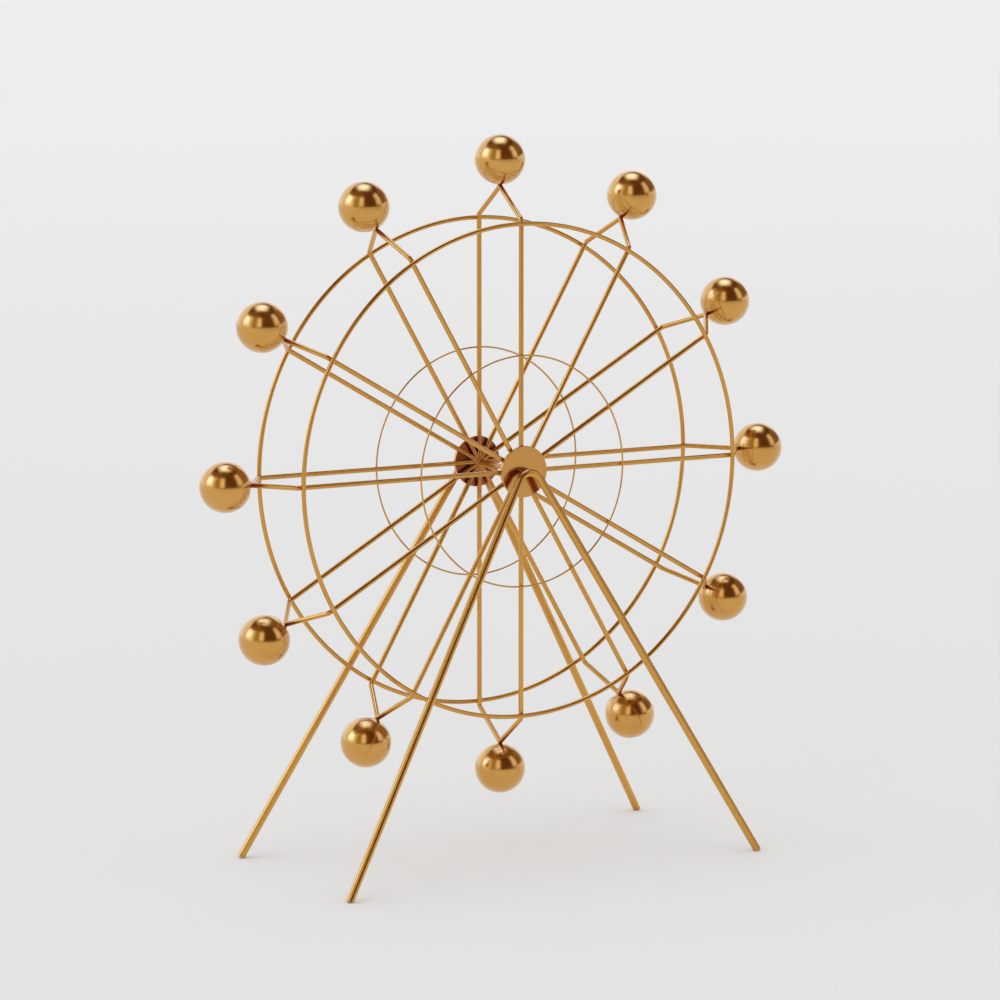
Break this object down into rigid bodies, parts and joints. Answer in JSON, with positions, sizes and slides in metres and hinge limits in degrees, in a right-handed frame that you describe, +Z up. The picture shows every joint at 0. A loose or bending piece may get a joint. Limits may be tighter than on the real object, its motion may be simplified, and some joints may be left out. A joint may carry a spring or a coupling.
{
  "type": "ferris wheel decoration",
  "caption": "Gold wire model Ferris wheel for a shelf or table: a spoked double wheel with balls round its edge turns on an axle between bent-rod legs.",
  "frame": {"origin": "on the floor under the middle of the wheel, midway between the four feet", "axes": "+Z up, +X across the wheel to the right seen from the front, +Y along the axle from front to back; the front faces -Y"},
  "size_m": [0.2704, 0.0978, 0.2965],
  "materials": {
    "leg_rod": "polished gold, drawn rod",
    "axle": "plain turned",
    "spacer": "plain turned",
    "hub_tube": "polished gold",
    "hub_disc": "satin gold",
    "rim_wire": "polished gold, drawn wire",
    "inner_ring_wire": "polished gold, drawn wire",
    "arm_wire": "polished gold, drawn wire",
    "ball": "polished gold"
  },
  "bodies": {
    "stand": {"front_leg": "leg_rod", "back_leg": "leg_rod", "axle": "axle", "front_spacer": "spacer", "back_spacer": "spacer"},
    "wheel": {"hub_tube": "hub_tube", "front_hub_disc": "hub_disc", "back_hub_disc": "hub_disc", "front_rim_ring": "rim_wire", "back_rim_ring": "rim_wire", "front_inner_ring": "inner_ring_wire", "back_inner_ring": "inner_ring_wire", "front_arm_01": "arm_wire", "front_arm_02": "arm_wire", "front_arm_03": "arm_wire", "front_arm_04": "arm_wire", "front_arm_05": "arm_wire", "front_arm_06": "arm_wire", "front_arm_07": "arm_wire", "front_arm_08": "arm_wire", "front_arm_09": "arm_wire", "front_arm_10": "arm_wire", "front_arm_11": "arm_wire", "front_arm_12": "arm_wire", "back_arm_01": "arm_wire", "back_arm_02": "arm_wire", "back_arm_03": "arm_wire", "back_arm_04": "arm_wire", "back_arm_05": "arm_wire", "back_arm_06": "arm_wire", "back_arm_07": "arm_wire", "back_arm_08": "arm_wire", "back_arm_09": "arm_wire", "back_arm_10": "arm_wire", "back_arm_11": "arm_wire", "back_arm_12": "arm_wire", "ball_01": "ball", "ball_02": "ball", "ball_03": "ball", "ball_04": "ball", "ball_05": "ball", "ball_06": "ball", "ball_07": "ball", "ball_08": "ball", "ball_09": "ball", "ball_10": "ball", "ball_11": "ball", "ball_12": "ball"}
  },
  "joints": [
    {"name": "wheel_spin", "type": "hinge", "parent": "stand", "child": "wheel", "pos_m": [0, 0, 0.16123], "axis": [0, 1, 0], "continuous": true}
  ]
}
